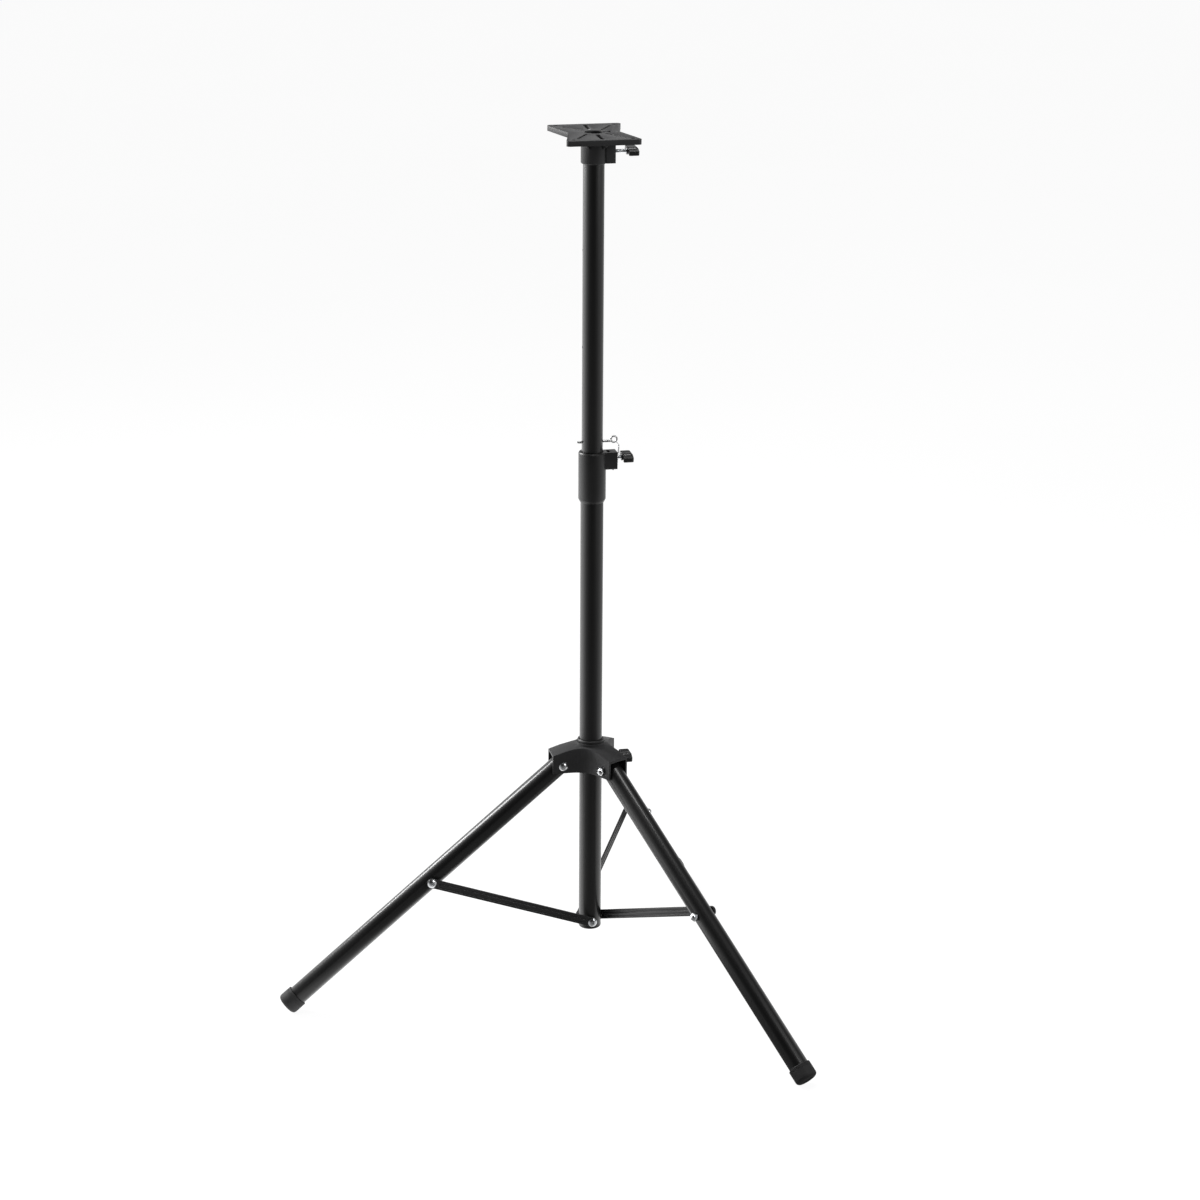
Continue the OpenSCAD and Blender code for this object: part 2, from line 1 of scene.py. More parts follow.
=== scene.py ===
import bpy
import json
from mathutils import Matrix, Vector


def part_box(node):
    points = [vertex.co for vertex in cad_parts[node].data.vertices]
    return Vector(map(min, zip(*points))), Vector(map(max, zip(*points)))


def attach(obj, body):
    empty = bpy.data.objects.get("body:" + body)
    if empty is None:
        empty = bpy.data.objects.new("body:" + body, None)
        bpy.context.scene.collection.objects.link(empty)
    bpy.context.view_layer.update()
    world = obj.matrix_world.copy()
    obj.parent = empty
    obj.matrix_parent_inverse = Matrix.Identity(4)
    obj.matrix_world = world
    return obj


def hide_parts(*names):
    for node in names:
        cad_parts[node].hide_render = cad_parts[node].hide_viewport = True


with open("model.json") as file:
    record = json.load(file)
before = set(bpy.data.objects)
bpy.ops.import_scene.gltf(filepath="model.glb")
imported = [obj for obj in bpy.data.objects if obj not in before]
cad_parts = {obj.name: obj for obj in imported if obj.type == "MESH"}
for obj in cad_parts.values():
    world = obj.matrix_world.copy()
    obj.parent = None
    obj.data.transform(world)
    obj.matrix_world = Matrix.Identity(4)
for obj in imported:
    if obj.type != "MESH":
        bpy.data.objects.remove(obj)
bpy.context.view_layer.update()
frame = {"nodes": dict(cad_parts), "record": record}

import json
from math import acos, asin, cos, degrees, pi, radians, sin, tau

import bmesh
import bpy
from mathutils import Matrix, Vector

MM = 0.001
NODES = frame["nodes"]
SLOT_OF = {part["node"]: part["material_slot"] for part in frame["record"]["subparts"]}
BEHAVIOUR = frame["record"]["behaviour"]
BODY_OF = {node: body for body, nodes in BEHAVIOUR["bodies"].items() for node in nodes}
JOINTS = {joint["name"]: joint for joint in BEHAVIOUR["joints"]}
WAYS = {"left": 180, "front": 300, "rear": 60}

# ---- Camera ----

CAMERA_DISTANCE = 5.2
CAMERA_HEIGHT = 2.348
CAMERA_ROUND = radians(-12.256)
CAMERA_TURN = radians(-0.158)
CAMERA_DOWN = radians(17.567)
CAMERA_ROLL = radians(0.355)
LENS = 98.1
SENSOR = 36


def make_camera():
    data = bpy.data.cameras.new("camera")
    data.lens = LENS
    data.sensor_width = SENSOR
    camera = bpy.data.objects.new("camera", data)
    bpy.context.scene.collection.objects.link(camera)
    x, y = sin(CAMERA_ROUND) * CAMERA_DISTANCE, -cos(CAMERA_ROUND) * CAMERA_DISTANCE
    heading = Matrix.Rotation(CAMERA_ROUND + CAMERA_TURN, 4, "Z")
    tilt = Matrix.Rotation(pi / 2 - CAMERA_DOWN, 4, "X")
    roll = Matrix.Rotation(CAMERA_ROLL, 4, "Z")
    camera.matrix_world = Matrix.Translation((x, y, CAMERA_HEIGHT)) @ heading @ tilt @ roll
    bpy.context.scene.camera = camera


# ---- Node materials ----


def new_material(name):
    material = bpy.data.materials.new(name)
    material.use_nodes = True
    tree = material.node_tree
    return material, tree, tree.nodes["Principled BSDF"]


def noise(tree, scale, detail=4.0, roughness=0.55, stretch=(1, 1, 1)):
    where = tree.nodes.new("ShaderNodeTexCoord")
    mapping = tree.nodes.new("ShaderNodeMapping")
    mapping.inputs["Scale"].default_value = stretch
    tree.links.new(where.outputs["Object"], mapping.inputs["Vector"])
    pattern = tree.nodes.new("ShaderNodeTexNoise")
    pattern.inputs["Scale"].default_value = scale
    pattern.inputs["Detail"].default_value = detail
    pattern.inputs["Roughness"].default_value = roughness
    tree.links.new(mapping.outputs["Vector"], pattern.inputs["Vector"])
    return pattern.outputs["Fac"]


def cells(tree, scale):
    where = tree.nodes.new("ShaderNodeTexCoord")
    pattern = tree.nodes.new("ShaderNodeTexVoronoi")
    pattern.feature = "SMOOTH_F1"
    pattern.inputs["Scale"].default_value = scale
    tree.links.new(where.outputs["Object"], pattern.inputs["Vector"])
    return pattern.outputs["Distance"]


def spread(tree, value, low, high, out_low, out_high, smooth=False):
    ranged = tree.nodes.new("ShaderNodeMapRange")
    ranged.interpolation_type = "SMOOTHSTEP" if smooth else "LINEAR"
    tree.links.new(value, ranged.inputs["Value"])
    ranged.inputs["From Min"].default_value = low
    ranged.inputs["From Max"].default_value = high
    ranged.inputs["To Min"].default_value = out_low
    ranged.inputs["To Max"].default_value = out_high
    return ranged.outputs["Result"]


def combine(tree, operation, first, second):
    node = tree.nodes.new("ShaderNodeMath")
    node.operation = operation
    for socket, value in zip(node.inputs, (first, second)):
        if isinstance(value, (int, float)):
            socket.default_value = value
        else:
            tree.links.new(value, socket)
    return node.outputs["Value"]


def tint(tree, value, dark, light, low=0.3, high=0.7):
    ramp = tree.nodes.new("ShaderNodeValToRGB")
    first, last = ramp.color_ramp.elements
    first.position, last.position = low, high
    first.color = (*dark, 1)
    last.color = (*light, 1)
    tree.links.new(value, ramp.inputs["Fac"])
    return ramp.outputs["Color"]


def blend_colour(tree, amount, first, second):
    mix = tree.nodes.new("ShaderNodeMix")
    mix.data_type = "RGBA"
    tree.links.new(amount, mix.inputs["Factor"])
    tree.links.new(first, mix.inputs["A"])
    mix.inputs["B"].default_value = (*second, 1)
    return mix.outputs["Result"]


def bump(tree, shader, layers):
    """Bump layers, coarse first: each is (heights, strength, distance in metres)."""
    below = None
    for heights, strength, distance in layers:
        node = tree.nodes.new("ShaderNodeBump")
        node.inputs["Strength"].default_value = strength
        node.inputs["Distance"].default_value = distance
        tree.links.new(heights, node.inputs["Height"])
        if below:
            tree.links.new(below, node.inputs["Normal"])
        below = node.outputs["Normal"]
    tree.links.new(below, shader.inputs["Normal"])


def grey(value):
    return (value, value, value * 1.03)


def edge_wear_and_highlight(tree, low=0.5, high=0.62):
    """Patches along the edges that edged_copy marks: edge wear, which the finishes also paint
    lighter as a painted highlight on the rounded edges.
    """
    edge = tree.nodes.new("ShaderNodeAttribute")
    edge.attribute_name = "edge"
    patches = spread(tree, noise(tree, 260, 5, 0.7), low, high, 0, 1)
    return combine(tree, "MULTIPLY", edge.outputs["Fac"], patches)


def powder_coat(name, dark, light, rough_low, rough_high, coat):
    """Thin black powder coat: orange peel, a faint dust of finer grains, rubbed edges painted
    lighter, part wear and part painted highlight.
    """
    material, tree, shader = new_material(name)
    cloud = noise(tree, 9, 5, 0.6, (1, 1, 0.25))
    peel = noise(tree, 420, 2, 0.5)
    grains = noise(tree, 2600, 3, 0.6)
    base = tint(tree, cloud, grey(dark), grey(light))
    rubbed_and_sheen = edge_wear_and_highlight(tree)
    # Painted highlight and wear: the edge patches take a lighter colour
    tree.links.new(blend_colour(tree, rubbed_and_sheen, base, grey(light * 4)), shader.inputs["Base Color"])
    rough = combine(
        tree, "ADD",
        spread(tree, cloud, 0.3, 0.7, rough_low, rough_high),
        spread(tree, grains, 0.35, 0.65, -0.03, 0.03),
    )
    tree.links.new(rough, shader.inputs["Roughness"])
    shader.inputs["Coat Weight"].default_value = coat
    shader.inputs["Coat Roughness"].default_value = 0.1
    bump(tree, shader, [(peel, 0.1, 0.0004), (grains, 0.1, 0.0001)])
    return material


def moulded(name, dark, light, rough_low, rough_high, grain, depth, shine=0.5, coat=0.0):
    """Moulded plastic or rubber: spark-eroded grain, flow marks and slightly polished edges,
    painted lighter as part wear and part painted highlight.
    """
    material, tree, shader = new_material(name)
    cloud = noise(tree, 34, 4, 0.6)
    fine = noise(tree, grain, 4, 0.62)
    pits = cells(tree, grain * 0.6)
    base = tint(tree, cloud, grey(dark), grey(light))
    rubbed_and_sheen = edge_wear_and_highlight(tree, 0.42, 0.6)
    # Painted highlight and wear: the edge patches take a lighter colour
    tree.links.new(blend_colour(tree, rubbed_and_sheen, base, grey(light * 2.4)), shader.inputs["Base Color"])
    rough = combine(
        tree, "SUBTRACT",
        spread(tree, fine, 0.3, 0.7, rough_low, rough_high),
        combine(tree, "MULTIPLY", rubbed_and_sheen, 0.18),
    )
    tree.links.new(rough, shader.inputs["Roughness"])
    shader.inputs["Specular IOR Level"].default_value = shine
    shader.inputs["Coat Weight"].default_value = coat
    shader.inputs["Coat Roughness"].default_value = 0.16
    bump(tree, shader, [(pits, depth * 0.7, 0.0003), (fine, depth, 0.0002)])
    return material


def bright_metal(name, dark, light, rough_low, rough_high, stretch, grain=900):
    """Plated or drawn steel: clouded plating, tool marks and fine scratches."""
    material, tree, shader = new_material(name)
    cloud = noise(tree, 120, 4, 0.6)
    marks = noise(tree, grain, 4, 0.6, stretch)
    tree.links.new(tint(tree, cloud, dark, light), shader.inputs["Base Color"])
    shader.inputs["Metallic"].default_value = 1.0
    rough = combine(
        tree, "ADD",
        spread(tree, marks, 0.3, 0.7, rough_low, rough_high),
        spread(tree, cloud, 0.35, 0.7, 0, 0.08),
    )
    tree.links.new(rough, shader.inputs["Roughness"])
    bump(tree, shader, [(marks, 0.12, 0.00008)])
    return material


def natural_nylon(name):
    material, tree, shader = new_material(name)
    cloud = noise(tree, 90, 3)
    rubbed_and_sheen = noise(tree, 700, 4, 0.6, (1, 1, 0.1))
    colour = tint(tree, cloud, (0.64, 0.61, 0.54), (0.75, 0.73, 0.68))
    tree.links.new(colour, shader.inputs["Base Color"])
    tree.links.new(spread(tree, rubbed_and_sheen, 0.3, 0.7, 0.34, 0.52), shader.inputs["Roughness"])
    shader.inputs["Subsurface Weight"].default_value = 0.15
    shader.inputs["Subsurface Radius"].default_value = (0.002, 0.002, 0.002)
    bump(tree, shader, [(rubbed_and_sheen, 0.08, 0.0001)])
    return material


ZINC_DARK, ZINC_LIGHT = (0.66, 0.69, 0.73), (0.88, 0.88, 0.87)
STEEL_DARK, STEEL_LIGHT = (0.58, 0.59, 0.6), (0.76, 0.76, 0.75)
FINISH = {
    "black_tube": powder_coat("black_tube", 0.0045, 0.0065, 0.36, 0.44, 0.3),
    "strut_black": powder_coat("strut_black", 0.022, 0.03, 0.36, 0.5, 0.15),
    "casting": moulded("casting", 0.034, 0.044, 0.42, 0.56, 1500, 0.3, 0.3),
    "collar_plastic": moulded("collar_plastic", 0.012, 0.017, 0.36, 0.46, 1500, 0.16),
    "black_plastic": moulded("black_plastic", 0.014, 0.02, 0.4, 0.54, 1300, 0.2),
    "knob_plastic": moulded("knob_plastic", 0.008, 0.012, 0.22, 0.34, 800, 0.1, 0.5, 0.4),
    "foot_rubber": moulded("foot_rubber", 0.02, 0.03, 0.56, 0.74, 1000, 0.45, 0.45),
    "zinc_steel": bright_metal("zinc_steel", ZINC_DARK, ZINC_LIGHT, 0.12, 0.26, (1, 1, 1)),
    "pin_steel": bright_metal("pin_steel", STEEL_DARK, STEEL_LIGHT, 0.16, 0.32, (0.06, 1, 1), 1400),
    "nylon": natural_nylon("nylon"),
}
# The collar is moulded smoother and darker than the hub and the plate
SPECIAL_FINISH = {"locking_collar": "collar_plastic"}


def finish_of(node):
    return FINISH[SPECIAL_FINISH.get(node, SLOT_OF[node])]


# ---- Mesh helpers ----


def new_piece(name, mesh):
    piece = bpy.data.objects.new(name, mesh)
    bpy.context.scene.collection.objects.link(piece)
    return piece


def place_piece(piece, node, *others, sharp=None):
    """Give a piece the finish, body and slot of the CAD node that it stands for."""
    piece.data.materials.clear()
    piece.data.materials.append(finish_of(node))
    for polygon in piece.data.polygons:
        polygon.use_smooth = True
        polygon.material_index = 0
    if sharp:
        piece.data.set_sharp_from_angle(angle=radians(sharp))
    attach(piece, BODY_OF[node])
    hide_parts(node, *others)
    return piece


def apply_modifiers(piece):
    graph = bpy.context.evaluated_depsgraph_get()
    shaped = bpy.data.meshes.new_from_object(piece.evaluated_get(graph))
    rough = piece.data
    piece.modifiers.clear()
    piece.data = shaped
    bpy.data.meshes.remove(rough)


def clean_mesh(node):
    """The CAD node's mesh with its flat faces in one piece each."""
    shape = bmesh.new()
    shape.from_mesh(NODES[node].data)
    bmesh.ops.remove_doubles(shape, verts=shape.verts, dist=2e-6)
    bmesh.ops.dissolve_limit(
        shape, angle_limit=radians(0.3), verts=shape.verts, edges=shape.edges
    )
    return shape


def edged_copy(node, width, top_width=None, segments=3, angle=28):
    """A copy of a CAD node with rounded edges, and rounder ones round its upper faces."""
    top_width = top_width or width
    shape = clean_mesh(node)
    shape.normal_update()
    weights = shape.edges.layers.float.new("bevel_weight_edge")
    for edge in shape.edges:
        if len(edge.link_faces) == 2 and edge.calc_face_angle() > radians(angle):
            low, high = sorted(face.normal.z for face in edge.link_faces)
            upper = edge.is_convex and high > 0.5 and low > -0.3
            edge[weights] = 1.0 if upper else width / top_width
    mesh = bpy.data.meshes.new(node + "_edged")
    for face in shape.faces:
        face.smooth = True
    shape.to_mesh(mesh)
    shape.free()
    mesh.materials.append(finish_of(node))
    mesh.materials.append(finish_of(node))
    piece = new_piece(node + "_edged", mesh)
    rounding = piece.modifiers.new("rounding", "BEVEL")
    rounding.width = top_width
    rounding.segments = segments
    rounding.limit_method = "WEIGHT"
    rounding.use_clamp_overlap = True
    rounding.harden_normals = True
    rounding.material = 1
    apply_modifiers(piece)
    # The bevel faces, which the finishes paint lighter as edge wear and as a painted highlight
    marks = piece.data.attributes.new("edge", "FLOAT", "FACE")
    for polygon, mark in zip(piece.data.polygons, marks.data):
        mark.value = float(polygon.material_index)
    return place_piece(piece, node)


def sweep(path, radii, sides, closed=False):
    """A tube along a path, with a radius for each point."""
    shape = bmesh.new()
    rings = []
    count = len(path)
    side = None
    for i, (point, radius) in enumerate(zip(path, radii)):
        before = path[i - 1] if closed or i else point
        after = path[(i + 1) % count] if closed or i < count - 1 else point
        along = (after - before).normalized()
        if side is None:
            side = along.orthogonal().normalized()
        side = (side - along * side.dot(along)).normalized()
        other = along.cross(side)
        turn = [(cos(tau * j / sides), sin(tau * j / sides)) for j in range(sides)]
        rings.append([shape.verts.new(point + radius * (c * side + s * other)) for c, s in turn])
    pairs = list(zip(rings, rings[1:] + rings[:1])) if closed else list(zip(rings, rings[1:]))
    for first, second in pairs:
        for j in range(sides):
            k = (j + 1) % sides
            shape.faces.new((first[j], first[k], second[k], second[j]))
    if not closed:
        shape.faces.new(list(reversed(rings[0])))
        shape.faces.new(rings[-1])
    return shape


def lathe(profile, sides):
    """A solid turned about +Z from (radius, height) points, whose ends lie on the axis."""
    shape = bmesh.new()
    low = shape.verts.new((0, 0, profile[0][1]))
    high = shape.verts.new((0, 0, profile[-1][1]))
    turn = [(cos(tau * j / sides), sin(tau * j / sides)) for j in range(sides)]
    rings = [[shape.verts.new((r * c, r * s, z)) for c, s in turn] for r, z in profile[1:-1]]
    for j in range(sides):
        k = (j + 1) % sides
        shape.faces.new((low, rings[0][k], rings[0][j]))
        shape.faces.new((high, rings[-1][j], rings[-1][k]))
        for first, second in zip(rings, rings[1:]):
            shape.faces.new((first[j], first[k], second[k], second[j]))
    return shape


def arc(x, z, radius, start, end, steps):
    """Points of an arc, with its angles in degrees."""
    angles = [radians(start + (end - start) * i / steps) for i in range(steps + 1)]
    return [(x + radius * cos(a), z + radius * sin(a)) for a in angles]


def to_piece(shape, name):
    mesh = bpy.data.meshes.new(name)
    bmesh.ops.recalc_face_normals(shape, faces=shape.faces)
    shape.to_mesh(mesh)
    shape.free()
    return new_piece(name, mesh)


def joined(name, mesh, places):
    """One piece holding a copy of a mesh at each place."""
    shape = bmesh.new()
    for place in places:
        copy = mesh.copy()
        copy.transform(place)
        shape.from_mesh(copy)
        bpy.data.meshes.remove(copy)
    return to_piece(shape, name)


def reach_along(node, point, axis, near=0.012):
    """How far a CAD node reaches along an axis, counting only what lies near the axis."""
    heights = []
    for vertex in NODES[node].data.vertices:
        offset = vertex.co - point
        height = offset.dot(axis)
        if (offset - axis * height).length < near:
            heights.append(height)
    return min(heights), max(heights)


def facing(point, axis):
    """The place whose +Z looks along an axis."""
    return Matrix.Translation(point) @ axis.to_track_quat("Z", "Y").to_matrix().to_4x4()


def joint_line(name):
    joint = JOINTS[name]
    return Vector(joint["pos_m"]), Vector(joint["axis"]).normalized()


# ---- Bolts with a domed head and a cross recess ----

HEAD_R = 7.5 * MM
HEAD_HEIGHT = 4 * MM
HEAD_DOME_R = 10 * MM
HEAD_EDGE = 0.35 * MM
SHANK_R = 4 * MM
CROSS_REACH = 3.3 * MM
CROSS_HALF = 0.75 * MM
CROSS_DEPTH = 2.2 * MM


def cross_cutter(top):
    arm, half = CROSS_REACH, CROSS_HALF
    outline = [
        (arm, -half), (arm, half), (half, half), (half, arm), (-half, arm), (-half, half),
        (-arm, half), (-arm, -half), (-half, -half), (-half, -arm), (half, -arm), (half, -half),
    ]
    shape = bmesh.new()
    levels = ((top + MM, 1.15), (top - CROSS_DEPTH, 0.5))
    rings = [[shape.verts.new((x * k, y * k, z)) for x, y in outline] for z, k in levels]
    for i in range(len(outline)):
        j = (i + 1) % len(outline)
        shape.faces.new((rings[0][i], rings[0][j], rings[1][j], rings[1][i]))
    shape.faces.new(rings[0])
    shape.faces.new(rings[1])
    return to_piece(shape, "cross_cutter")


def bolt_mesh(shank, name):
    """A bolt whose seat is at the origin: its head looks along +Z, its shank reaches down."""
    centre = HEAD_HEIGHT - HEAD_DOME_R
    rim = degrees(acos((HEAD_R - HEAD_EDGE) / HEAD_DOME_R))
    rim_z = centre + HEAD_DOME_R * sin(radians(rim))
    profile = [(0, -shank), (SHANK_R - 0.5 * MM, -shank), (SHANK_R, -shank + 0.5 * MM)]
    profile += [(SHANK_R, 0), (HEAD_R - HEAD_EDGE, 0), (HEAD_R, HEAD_EDGE)]
    profile += [(HEAD_R, rim_z - HEAD_EDGE * 0.7)]
    profile += arc(0, centre, HEAD_DOME_R, rim, 88, 14)
    profile += [(0, HEAD_HEIGHT)]
    head = to_piece(lathe(profile, 72), name)
    cutter = cross_cutter(HEAD_HEIGHT)
    cut = head.modifiers.new("recess", "BOOLEAN")
    cut.object = cutter
    cut.solver = "EXACT"
    apply_modifiers(head)
    mesh = head.data
    bpy.data.objects.remove(head)
    bpy.data.objects.remove(cutter)
    return mesh


def bolt_place(node, point, axis):
    low, high = reach_along(node, point, axis)
    seat = high - HEAD_HEIGHT
    return facing(point + axis * seat, axis), seat - low


def make_bolts():
    pivots, inner = [], []
    for way in WAYS:
        point, axis = joint_line(way + "_leg_fold")
        place, pivot_shank = bolt_place("leg_pivot_bolts", point, axis)
        pivots.append(place)
        point, axis = joint_line(way + "_strut_fold")
        place, screw_shank = bolt_place("strut_screws", point, -axis)
        inner.append(place)
        node = "strut_bolt_" + way
        low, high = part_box(node)
        place, bolt_shank = bolt_place(node, (low + high) / 2, -axis)
        mesh = bolt_mesh(bolt_shank, node + "_mesh")
        piece = joined(node + "_domed", mesh, [place])
        place_piece(piece, node, sharp=32)
    piece = joined("leg_pivot_bolts_domed", bolt_mesh(pivot_shank, "pivot_mesh"), pivots)
    place_piece(piece, "leg_pivot_bolts", sharp=32)
    piece = joined("strut_screws_domed", bolt_mesh(screw_shank, "screw_mesh"), inner)
    place_piece(piece, "strut_screws", sharp=32)


# ---- Clamp screws and wing knobs ----

THREAD_PITCH = 1.0 * MM
THREAD_DEPTH = 0.45 * MM
THREAD_STEPS = 8
THREAD_SIDES = 28


def make_screw(node):
    """A threaded rod along +X, with its thread cut back at both ends."""
    low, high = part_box(node)
    middle = (low + high) / 2
    radius = (high.y - low.y) / 2
    length = high.x - low.x
    count = int(length / THREAD_PITCH * THREAD_STEPS)
    shape = bmesh.new()
    rings = []
    for i in range(count + 1):
        x = length * i / count
        end = min(x, length - x) / THREAD_PITCH
        ring = []
        for j in range(THREAD_SIDES):
            phase = (x / THREAD_PITCH - j / THREAD_SIDES) % 1.0
            depth = min(1.0, max(0.0, 1.2 - abs(2 * phase - 1) * 1.5))
            r = radius - THREAD_DEPTH * max(depth, 1 - end)
            a = tau * j / THREAD_SIDES
            point = (low.x + x, middle.y + r * cos(a), middle.z + r * sin(a))
            ring.append(shape.verts.new(point))
        rings.append(ring)
    for first, second in zip(rings, rings[1:]):
        for j in range(THREAD_SIDES):
            k = (j + 1) % THREAD_SIDES
            shape.faces.new((first[j], first[k], second[k], second[j]))
    shape.faces.new(rings[0])
    shape.faces.new(rings[-1])
    place_piece(to_piece(shape, node + "_threaded"), node, sharp=50)


KNOB_VOXEL = 0.65 * MM


def make_knob(node):
    """The CAD knob with its parts flowing into each other, as it is moulded."""
    piece = new_piece(node + "_moulded", NODES[node].data.copy())
    remesh = piece.modifiers.new("remesh", "REMESH")
    remesh.mode = "VOXEL"
    remesh.voxel_size = KNOB_VOXEL
    soften = piece.modifiers.new("soften", "SMOOTH")
    soften.factor = 0.5
    soften.iterations = 7
    apply_modifiers(piece)
    place_piece(piece, node)


# ---- Safety pin, split ring and bead chain ----

PIN_R = 2 * MM
EYE_R = 5 * MM
EYE_WIRE = 1.5 * MM
EYE_LIFT = 2.6 * MM
RING_R = 4.5 * MM
RING_WIRE = 0.3 * MM
RING_TILT = radians(50)
BEAD_R = 1.3 * MM
LINK_R = 0.45 * MM
END_RING_R = 2.6 * MM
END_RING_WIRE = 0.5 * MM
END_RING_FROM_ANCHOR = (0, 2, -0.6)
# The bead chain's route from the ring to the anchor, in mm from the collar's upper face
CHAIN = [
    (44.6, 0.3, 8.1), (45, 1.8, 4.5), (45.3, 3.6, 1), (45.5, 5.6, -2.4), (45.6, 7.6, -5.8),
    (45.7, 9.5, -9.3), (45.8, 11.2, -12.9), (45.8, 12.6, -16.6), (45.8, 13.6, -20.4),
    (45.7, 14.1, -24.4), (45.3, 14.3, -28.4), (44.3, 14.3, -32.2), (42, 14.2, -35.4),
    (38.4, 14, -36.8), (35.2, 13.5, -35.1), (34, 13, -32.1),
]
ANCHOR = (34, 11, -27)


def make_pin():
    """Drawn wire with a pointed nose, bent round into an eye at the other end."""
    low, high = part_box("safety_pin")
    eye = Vector((high.x - EYE_R - EYE_WIRE, 0, high.z - EYE_R - EYE_WIRE))
    axis_z = eye.z - EYE_LIFT
    path, radii = [], []
    for x, r in ((0, 0.25), (0.3, 0.6), (0.9, 0.85), (1.8, 1)):
        path.append(Vector((low.x + x * MM, 0, axis_z)))
        radii.append(PIN_R * r)
    bend_x = eye.x - EYE_R - 3.2 * MM
    for i in range(1, 13):
        path.append(Vector((low.x + 1.8 * MM + (bend_x - low.x - 1.8 * MM) * i / 12, 0, axis_z)))
        radii.append(PIN_R)
    path.append(Vector((bend_x + 2 * MM, 0, axis_z - 0.1 * MM)))
    radii.append(PIN_R * 0.94)
    start, end, steps = 222, 560, 52
    for i in range(steps + 1):
        a = radians(start + (end - start) * i / steps)
        path.append(eye + EYE_R * Vector((cos(a), 0, sin(a))))
        radii.append(EYE_WIRE if i else EYE_WIRE * 1.12)
    piece = to_piece(sweep(path, radii, 24), "safety_pin_bent")
    place_piece(piece, "safety_pin", sharp=50)


def make_split_ring():
    """Two close turns of spring wire."""
    low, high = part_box("chain_ring")
    place = Matrix.Translation((low + high) / 2) @ Matrix.Rotation(RING_TILT, 4, "Y")
    turns, steps = 2, 48
    path = []
    for i in range(turns * steps + 1):
        a = tau * i / steps
        lift = RING_WIRE * (2 * i / (turns * steps) - 1)
        path.append(place @ Vector((RING_R * cos(a), RING_R * sin(a), lift)))
    piece = to_piece(sweep(path, [RING_WIRE] * len(path), 12), "chain_ring_split")
    place_piece(piece, "chain_ring", sharp=50)


def make_chain():
    """Hollow beads crimped on wire links, with a small ring at the anchor."""
    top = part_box("locking_collar")[1].z
    route = [Vector((x * MM, y * MM, top + z * MM)) for x, y, z in CHAIN]
    lip = degrees(asin(0.42))
    ball = [(0, -BEAD_R * 0.9), (BEAD_R * 0.3, -BEAD_R * 0.9)]
    ball += arc(0, 0, BEAD_R, -90 + lip, -4, 8) + [(BEAD_R * 0.965, 0)]
    ball += arc(0, 0, BEAD_R, 4, 90 - lip, 8) + [(BEAD_R * 0.3, BEAD_R * 0.9), (0, BEAD_R * 0.9)]
    bead = lathe(ball, 20)
    mesh = bpy.data.meshes.new("bead")
    bead.to_mesh(mesh)
    bead.free()
    shape = bmesh.new()
    for i, point in enumerate(route):
        along = route[min(i + 1, len(route) - 1)] - route[max(i - 1, 0)]
        copy = mesh.copy()
        copy.transform(facing(point, along))
        shape.from_mesh(copy)
    for first, second in zip(route, route[1:]):
        link = sweep([first, second], [LINK_R, LINK_R], 10)
        copy = bpy.data.meshes.new("link")
        link.to_mesh(copy)
        link.free()
        shape.from_mesh(copy)
    centre = Vector((0, 0, top)) + (Vector(ANCHOR) + Vector(END_RING_FROM_ANCHOR)) * MM
    circle = [(cos(tau * i / 36), sin(tau * i / 36)) for i in range(36)]
    path = [centre + END_RING_R * Vector((c, 0, s)) for c, s in circle]
    ring = sweep(path, [END_RING_WIRE] * len(path), 12, closed=True)
    copy = bpy.data.meshes.new("end_ring")
    ring.to_mesh(copy)
    ring.free()
    shape.from_mesh(copy)
    place_piece(to_piece(shape, "pin_chain_beads"), "pin_chain", sharp=40)


# ---- Feet ----

LEG_TILT = radians(49.65)
LEG_LEN = 624 * MM
LEG_R = 16.75 * MM
FOOT_R = 19.25 * MM
FOOT_LEN = 26 * MM
FOOT_ROUND = 6 * MM
FOOT_FLOOR = 5 * MM
FOOT_LIP = 1.2 * MM
RIB_DEPTH = 0.35 * MM
RIBS = 3


def foot_profile():
    """The rubber cap's outline from the middle of its sole to the middle of its cup."""
    outline = [(0, 0.8 * MM), (FOOT_R * 0.42, 0.8 * MM), (FOOT_R * 0.46, 0)]
    outline += arc(FOOT_R - FOOT_ROUND, FOOT_ROUND, FOOT_ROUND, -90, 0, 12)
    for i in range(RIBS):
        z = FOOT_LEN - (7.2 - 1.9 * i) * MM
        outline += [(FOOT_R, z), (FOOT_R - RIB_DEPTH, z + 0.4 * MM)]
        outline += [(FOOT_R - RIB_DEPTH, z + 0.7 * MM), (FOOT_R, z + 1.1 * MM)]
    outline += arc(FOOT_R - FOOT_LIP, FOOT_LEN - FOOT_LIP, FOOT_LIP, 0, 90, 5)
    outline += [(LEG_R + 0.3 * MM, FOOT_LEN), (LEG_R, FOOT_LEN - 0.4 * MM)]
    outline += [(LEG_R, FOOT_FLOOR), (0, FOOT_FLOOR)]
    return outline


def make_feet():
    shape = lathe(foot_profile(), 96)
    mesh = bpy.data.meshes.new("foot")
    shape.to_mesh(mesh)
    shape.free()
    for way, angle in WAYS.items():
        pivot, _ = joint_line(way + "_leg_fold")
        round_pole = Matrix.Rotation(radians(angle), 4, "Z")
        tilt = Matrix.Rotation(-LEG_TILT, 4, "Y")
        end = Matrix.Translation((0, 0, -LEG_LEN))
        place = Matrix.Translation(pivot) @ round_pole @ tilt @ end
        piece = joined("foot_" + way + "_cap", mesh, [place])
        place_piece(piece, "foot_" + way, sharp=32)


# ---- Pieces with rounded edges ----

